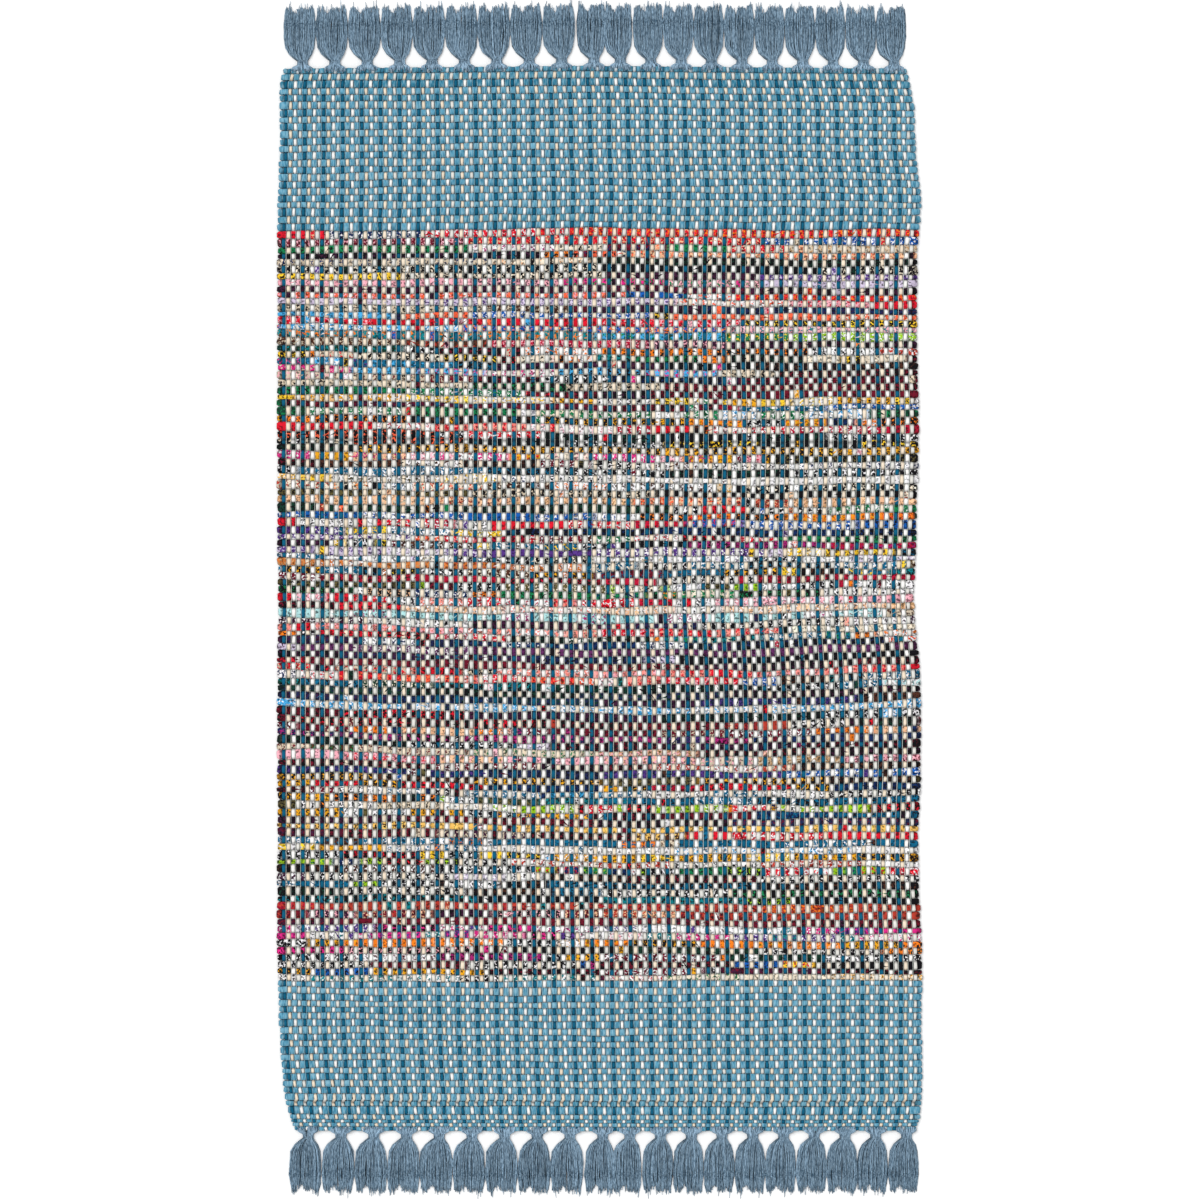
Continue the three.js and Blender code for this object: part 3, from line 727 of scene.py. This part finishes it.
# The tassels: strands of slate cotton through the end of the cloth, tied at the neck and combed to one side
tassel = {
    "section": [(0, 1), (-0.87, -0.5), (0.87, -0.5)],
    # painted shade on the lower corners of the section
    "cornerShade": [1, 0.78, 0.78],
    "fill": 6,  # broad strands under the others
    "strands": 66,
    "whiskers": 8,  # thin ones that stick out at the cut end
    "perHalf": 10,  # tassels on each side of the middle, where two are closer
    "pitch": 45.9,  # the pitch that the profile was drawn for
    "bellyOuts": (11, 30),  # between these the skirt takes on the width of its own pitch
    "stations": [0, 4, 10, 14, 20, 29, 45, 62, 75],  # out from the edge of the cloth
    "seat": 0.3,
    "halfWidth": 0.9,
    "widths": (0.85, 1.2),
    "whiskerWidth": 0.65,  # beside the other strands
    "tipWidth": 0.6,  # beside the rest of a strand
    "halfThick": 0.8,
    "thickest": 0.9,
    "fillLayer": 0.35,  # a layer is 0 on the floor and 1 at the top of the bundle
    "layerPower": 0.6,  # puts more strands high in the bundle than low
    "topLayer": 0.6,  # strands above this start on top of the cloth
    "topRoots": (-8, -2),
    "topEdge": 0.5,  # and leave the cloth here
    "topLevel": 6.5,
    "topRise": 0.5,
    "root": -0.2,  # where the others start
    "domeFall": 0.6,  # how much lower the bundle is at its sides
    "domePower": 2.4,
    "tipMore": (0.8, 1.4),  # mean and spread of a tip's place beyond the tip profile
    "fillShorter": 4,
    "whiskerLonger": (3, 8),
    "colour": "#6f8494",
    "fillLight": 1.2,  # light beside that colour
    "lowLight": 1.4,
    "topLight": 0.45,  # what the top of the bundle adds to it
    "lightPower": 1.4,
    "strandShade": 0.14,  # how much the light changes from strand to strand, and from ring to ring
    "ringShade": 0.07,
}
tie = {
    "outs": [8.2, 10],  # where its two turns lie, out from the edge of the cloth
    "halfSpan": 7.3,
    "slant": 0.6,
    "foot": 0.9,
    "rise": 6.6,
    "squareness": 2.6,
    "halfWidth": 1.0,
    "halfThick": 0.85,
    "light": 1.7,
    "shadow": 0.5,  # light on the strands that come out from under it on the left
    "shadowShare": 0.14,
    "shadowOuts": (9, 15),
}
tasselProfile = [  # out, left side, right side, height
    (-9, -16, 16, 7.0), (-3, -15, 15, 7.0), (0, -14, 14, 7.0), (2, -9.6, 9.6, 7.2), (4, -7.6, 7.6, 7.4),
    (7, -6.6, 6.6, 7.8), (11, -7.2, 6.6, 8.0), (12.5, -10, 7.4, 8.0), (15, -14.2, 9.4, 7.9),
    (18, -18, 12, 7.8), (24, -22.6, 14.8, 7.4), (30, -25, 16.4, 7.2), (48, -27.1, 18.3, 6.4),
    (62, -27.7, 18.7, 5.8), (74, -25.8, 17, 4.6), (90, -24.4, 15.6, 3.4),
]
tipProfile = [  # place across the skirt, length from the cloth
    (0, 82), (0.06, 84.5), (0.2, 85), (0.26, 81), (0.3, 77), (0.42, 76.5), (0.46, 83), (0.58, 84.5),
    (0.68, 83.5), (0.76, 82.5), (0.82, 86), (0.95, 86), (1, 82.5),
]
lockMiddles = np.array([0.06, 0.18, 0.31, 0.43, 0.55, 0.68, 0.81, 0.93])
lockPull = [(29, 0), (58, 0.3), (90, 0.2)]  # out, how far the strands draw together into locks
straying = [(11, 0.2), (40, 0.7)]  # out, how far a strand strays sideways
fillWidths = [(0, 1.2), (10, 1.4), (30, 4.2), (90, 3.6)]  # out, half-width of a broad strand
rootLight = [(-2, 1.25), (6, 1.15), (14, 1)]  # out, light: paler where it is pulled tight through the cloth
knotShares = [(45, 0), (62, 0.8), (75, 0)]  # out, how much of the strand is knotted plies
tasselRows = [  # end, outward, first neck, then the pitches on the left, in the middle and on the right
    ("far", 1, -421, 45.9, 37.5, 43.1),
    ("near", -1, -413, 46.4, 38.3, 43.6),
]


def oneTassel(width):  # rings of one tassel's strands and ties, out from its seat along +Y
    counts = [tassel["fill"], tassel["strands"], tassel["whiskers"]]
    count = sum(counts)
    kind = np.repeat(np.arange(len(counts)), counts)
    isFill, isWhisker = kind == 0, kind == 2
    place = np.concatenate([
        (np.arange(tassel["fill"]) + 0.5) / tassel["fill"],
        (rng.permutation(tassel["strands"]) + rng.random(tassel["strands"])) / tassel["strands"],
        rng.random(tassel["whiskers"]),
    ])
    layer = np.where(isFill, tassel["fillLayer"], rng.random(count) ** tassel["layerPower"])
    isTop = layer > tassel["topLayer"]
    tip = readOff(tipProfile, place) + rng.normal(*tassel["tipMore"], count)
    longer = rng.uniform(*tassel["whiskerLonger"], count)
    tip += np.where(isFill, -tassel["fillShorter"], np.where(isWhisker, longer, 0))
    start = np.where(isTop, rng.uniform(*tassel["topRoots"], count), tassel["root"])
    v = np.hstack([start[:, None], np.repeat([tassel["stations"]], count, axis=0), tip[:, None]])

    lock = lockMiddles[np.abs(lockMiddles[None, :] - place[:, None]).argmin(axis=1)]
    isFree = ~isFill[:, None]
    share = place[:, None] + (lock - place)[:, None] * readOff(lockPull, v) * isFree
    out, left, right, height = np.array(tasselProfile, float).T
    belly = np.interp(v, tassel["bellyOuts"], [1, width])
    x = (np.interp(v, out, left) * (1 - share) + np.interp(v, out, right) * share) * belly
    x += readOff(straying, v) * rng.normal(0, 1, v.shape) * isFree
    dome = 1 - tassel["domeFall"] * np.abs(2 * share - 1) ** tassel["domePower"]
    top = np.interp(v, out, height) - tassel["halfThick"]
    z = tassel["halfThick"] + (top - tassel["halfThick"]) * layer[:, None] * dome
    onCloth = (v < tassel["topEdge"]) & isTop[:, None]
    z = np.where(onCloth, tassel["topLevel"] + tassel["topRise"] * layer[:, None], z)
    wide = tassel["halfWidth"] * rng.uniform(*tassel["widths"], v.shape)
    wide[isFill] = readOff(fillWidths, v[isFill])
    wide[isWhisker] *= tassel["whiskerWidth"]
    wide[:, -1] *= tassel["tipWidth"]
    thick = np.minimum(tassel["halfThick"] * wide / tassel["halfWidth"], tassel["thickest"])
    light = tassel["lowLight"] + tassel["topLight"] * layer ** tassel["lightPower"]
    light = np.where(isFill, tassel["fillLight"], light)[:, None]
    light = light * (1 + tassel["strandShade"] * rng.normal(0, 1, (count, 1)))
    light = light * (1 + tassel["ringShade"] * rng.normal(0, 1, v.shape)) * readOff(rootLight, v)
    isNear = (v > tie["shadowOuts"][0]) & (v < tie["shadowOuts"][1])
    light = np.where(isNear & (place[:, None] < tie["shadowShare"]), tie["shadow"] * light, light)
    knotted = readOff(knotShares, v)

    # The tie goes over the neck from the floor on one side to the floor on the other
    turns = np.repeat([np.linspace(-1, 1, v.shape[1])], len(tie["outs"]), axis=0)
    tieOut = np.array(tie["outs"])[:, None] + tie["slant"] * turns
    tieUp = tie["foot"] + tie["rise"] * (1 - np.abs(turns) ** tie["squareness"])
    tiePoints = np.stack([tie["halfSpan"] * turns, tieOut, tieUp], axis=2)
    points = np.concatenate([np.stack([x, v, z], axis=2), tiePoints])
    tieValues = (tie["halfWidth"], tie["halfThick"], tie["light"], 0)
    wide, thick, light, knotted = (
        np.vstack([strands, np.full(turns.shape, value)])
        for strands, value in zip((wide, thick, light, knotted), tieValues)
    )
    return points, wide, thick, np.stack([light, light, light, knotted], axis=2)


tasselPieces = []
for end, outward, first, leftPitch, middlePitch, rightPitch in tasselRows:
    steps = [leftPitch] * (tassel["perHalf"] - 1) + [middlePitch] + [rightPitch] * (tassel["perHalf"] - 1)
    necks = first + np.cumsum([0] + steps)
    made = []
    for n, neck in enumerate(necks):
        pitch = (steps[max(n - 1, 0)] + steps[min(n, len(steps) - 1)]) / 2
        points, wide, thick, light = oneTassel(pitch / tassel["pitch"])
        edge = outward * clothLength / 2
        left, right = selvedgeAt(np.array([edge]))
        across = (neck - left) / (right - left)
        seat = outward * placeOf(across, np.array([edge]))[1][0] + tassel["seat"]
        points[..., 0] += neck
        points[..., 1] = outward * (points[..., 1] + seat)
        made.append((points, wide, thick, light))
    points, wide, thick, light = (np.concatenate(part) for part in zip(*made))
    piece = strandPiece(f"tassels{end.capitalize()}", points, wide, thick, tassel["section"])
    tone = np.clip(np.array(linear(tassel["colour"]) + [1]) * light, 0, 1)  # alpha is the share of knots
    paint(piece, "yarnColour", tone, tassel["cornerShade"])
    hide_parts(*[f"tassel_{end}_{n + 1:02d}" for n in range(len(necks))])
    tasselPieces.append(piece)
print("rug: tassels tied", [len(piece.data.polygons) for piece in tasselPieces])

# On a Mix node of colours, inputs 0, 6 and 7 are the factor and the two colours, and output 2 is the mix
bandPitch = 0.314  # metres from band to band of a wave texture at a scale of 1

# Torn rag cotton: matt and creased along its length, with a second colour printed on it in small figures, and
# painted shade in its folds
ragCotton = mattMaterial("torn rag cotton", roughness=0.95, specular=0.15)
tree = ragCotton.node_tree
place = addNode(tree, "TexCoord").outputs["Object"]
plain = addNode(tree, "Attribute", attribute_name="ragColour")
printed = addNode(tree, "Attribute", attribute_name="printColour")
figures = addNode(tree, "TexNoise", {  # about 3 mm across
    "Vector": place, "W": printed.outputs["Alpha"], "Scale": 1 / (3 * mm), "Detail": 1.0,
}, noise_dimensions="4D")
mask = addNode(tree, "MapRange", {
    "Value": figures.outputs[0], "From Min": 0.53, "From Max": 0.57, "To Max": plain.outputs["Alpha"],
})
figured = addNode(tree, "Mix", {
    0: mask.outputs["Result"], 6: plain.outputs["Color"], 7: printed.outputs["Color"],
}, data_type="RGBA")
stretched = addNode(tree, "Mapping", {"Vector": place, "Scale": (0.2, 1, 1)})
creases = addNode(tree, "TexNoise", {  # about 1.5 mm from crease to crease
    "Vector": stretched.outputs["Vector"], "Scale": 1 / (1.5 * mm), "Detail": 2.0,
})
relief = addNode(tree, "Bump", {"Height": creases.outputs[0], "Strength": 0.5, "Distance": 0.5 * mm})
crumpled = addNode(tree, "TexNoise", {  # painted shade in the folds of the rag, about 3.5 mm across
    "Vector": place, "Scale": 1 / (3.5 * mm), "Detail": 2.0,
})
# where painted shade goes in the folds
foldShade = addNode(tree, "MapRange", {
    "Value": crumpled.outputs[0], "From Min": 0.38, "From Max": 0.5, "To Min": 0.18,
})
# painted shade: the folds go nearly black
foldShaded = addNode(tree, "Mix", {
    0: foldShade.outputs["Result"], 6: linear("#0c0b0d") + [1], 7: figured.outputs[2],
}, data_type="RGBA")
dress(weftPieces[1:3] + [tornEnds], ragCotton, foldShaded.outputs[2], relief.outputs["Normal"])

# Blue border cotton: a thicker soft yarn than the rags, in washed blues that change a little by the pick
borderCotton = mattMaterial("blue border cotton", roughness=0.95, specular=0.15)
tree = borderCotton.node_tree
place = addNode(tree, "TexCoord").outputs["Object"]
blue = addNode(tree, "Attribute", attribute_name="ragColour")
stretched = addNode(tree, "Mapping", {"Vector": place, "Scale": (0.3, 1, 1)})
upright = addNode(tree, "Mapping", {"Vector": place, "Scale": (1, 0.2, 1)})
wearAndShadeNoise = addNode(tree, "TexNoise", {  # paler streaks about 2 mm wide, where the yarn is rubbed between the ends, and painted shade where it is low
    "Vector": upright.outputs["Vector"], "Scale": 1 / (2 * mm), "Detail": 1.0,
})
streaks = addNode(tree, "MapRange", {
    "Value": wearAndShadeNoise.outputs[0], "From Min": 0.5, "From Max": 0.66, "To Max": 0.6,
})
washed = addNode(tree, "Mix", {
    0: streaks.outputs["Result"], 6: blue.outputs["Color"], 7: linear("#93b9c8") + [1],
}, data_type="RGBA")
# where painted shade goes between the strands
dipShade = addNode(tree, "MapRange", {
    "Value": wearAndShadeNoise.outputs[0], "From Min": 0.36, "From Max": 0.46, "To Min": 0.4,
})
shaded = addNode(tree, "Mix", {  # painted shade, darker where it sinks between its own strands
    0: dipShade.outputs["Result"], 6: linear("#235d79") + [1], 7: washed.outputs[2],
}, data_type="RGBA")
fibres = addNode(tree, "TexNoise", {  # about 1.2 mm from fibre to fibre
    "Vector": stretched.outputs["Vector"], "Scale": 1 / (1.2 * mm), "Detail": 2.0,
})
relief = addNode(tree, "Bump", {"Height": fibres.outputs[0], "Strength": 0.4, "Distance": 0.4 * mm})
dress([weftPieces[0], weftPieces[3]], borderCotton, shaded.outputs[2], relief.outputs["Normal"])

# Cotton warp yarn: smooth, pale and twisted, so it stands out as rows of small bright floats
warpCotton = mattMaterial("cotton warp yarn", roughness=0.9, specular=0.2)
tree = warpCotton.node_tree
place = addNode(tree, "TexCoord").outputs["Object"]
yarn = addNode(tree, "Attribute", attribute_name="yarnColour")
twist = addNode(tree, "TexWave", {  # plies about 2 mm apart, drawn coarser than real ones so that they show
    "Vector": place, "Scale": bandPitch / (2 * mm), "Distortion": 0.6,
}, bands_direction="DIAGONAL")
relief = addNode(tree, "Bump", {"Height": twist.outputs[0], "Strength": 0.25, "Distance": 0.3 * mm})
dress(warpPieces + [threads], warpCotton, yarn.outputs["Color"], relief.outputs["Normal"])

# Slate tassel cotton: plied yarn, greyer than the border, with light plies and painted shade in the gaps
# between them
tasselCotton = mattMaterial("slate tassel cotton", roughness=0.9, specular=0.15)
tree = tasselCotton.node_tree
place = addNode(tree, "TexCoord").outputs["Object"]
yarn = addNode(tree, "Attribute", attribute_name="yarnColour")
plies = addNode(tree, "TexWave", {  # about 3 mm from ply to ply
    "Vector": place, "Scale": bandPitch / (3 * mm), "Distortion": 1.5,
}, bands_direction="DIAGONAL")
relief = addNode(tree, "Bump", {"Height": plies.outputs[0], "Strength": 0.5, "Distance": 0.5 * mm})
upright = addNode(tree, "Mapping", {"Vector": place, "Scale": (1, 0.3, 1)})
parted = addNode(tree, "TexNoise", {  # painted shade: dark lines where plies part, about 1.6 mm from one to the next
    "Vector": upright.outputs["Vector"], "Scale": 1 / (1.6 * mm), "Detail": 2.0,
})
lines = addNode(tree, "MapRange", {
    "Value": parted.outputs[0], "From Min": 0.4, "From Max": 0.52, "To Min": 0.35,
})
# painted shade in the gaps between plies
plyGapShade = addNode(tree, "Mix", {
    0: lines.outputs["Result"], 6: linear("#34536a") + [1], 7: yarn.outputs["Color"],
}, data_type="RGBA")
knots = addNode(tree, "TexNoise", {  # dark specks about 2 mm apart
    "Vector": place, "Scale": 1 / (2 * mm), "Detail": 1.0,
})
specks = addNode(tree, "MapRange", {
    "Value": knots.outputs[0], "From Min": 0.5, "From Max": 0.6, "To Max": yarn.outputs["Alpha"],
})
specked = addNode(tree, "Mix", {
    0: specks.outputs["Result"], 6: plyGapShade.outputs[2], 7: linear("#2b4a60") + [1],
}, data_type="RGBA")
dress(tasselPieces, tasselCotton, specked.outputs[2], relief.outputs["Normal"])
print("rug: materials set")

# Studio, in metres: a pale floor, an even white surround and one far soft lamp
studio = {
    "floor": 12.0,
    "floorThick": 0.02,
    "surround": 0.74,
    "lampFrom": (-0.5, 0.4, 1.0),  # high on the far left
    "lampAngle": 40,
    "lampPower": 1.55,
    "cameraHeight": 4.02,
    "lens": 85,
    "sensor": 36,
    "aim": (0.0007, -0.0022),  # the point that the camera hangs over
}
bm = bmesh.new()
bmesh.ops.create_cube(bm, size=1)
bmesh.ops.scale(bm, vec=(studio["floor"], studio["floor"], studio["floorThick"]), verts=bm.verts)
bmesh.ops.translate(bm, vec=(0, 0, -studio["floorThick"] / 2), verts=bm.verts)
floorMesh = bpy.data.meshes.new("floor")
bm.to_mesh(floorMesh)
bm.free()
floor = bpy.data.objects.new("floor", floorMesh)
bpy.context.scene.collection.objects.link(floor)
# Painted studio floor: plain and matt, nearly white
paleFloor = mattMaterial("pale studio floor", roughness=1.0, specular=0.0)
shader = paleFloor.node_tree.nodes["Principled BSDF"]
shader.inputs["Base Color"].default_value = linear("#fbfbfb") + [1]
floorMesh.materials.append(paleFloor)

scene = bpy.context.scene
world = bpy.data.worlds.new("studio surround")
world.use_nodes = True
background = world.node_tree.nodes["Background"]
background.inputs["Color"].default_value = (1, 1, 1, 1)
background.inputs["Strength"].default_value = studio["surround"]
scene.world = world

lamp = bpy.data.lights.new("softLamp", "SUN")  # a far broad light, so that both ends are lit alike
lamp.angle = math.radians(studio["lampAngle"])
lamp.energy = studio["lampPower"]
lampObject = bpy.data.objects.new("softLamp", lamp)
lampObject.rotation_euler = Vector(studio["lampFrom"]).to_track_quat("Z", "Y").to_euler()
scene.collection.objects.link(lampObject)

camera = bpy.data.cameras.new("fromAbove")
camera.lens = studio["lens"]
camera.sensor_width = studio["sensor"]
cameraObject = bpy.data.objects.new("fromAbove", camera)
cameraObject.location = (*studio["aim"], studio["cameraHeight"])
scene.collection.objects.link(cameraObject)
scene.camera = cameraObject
scene.view_settings.view_transform = "Standard"
print("rug: studio ready")
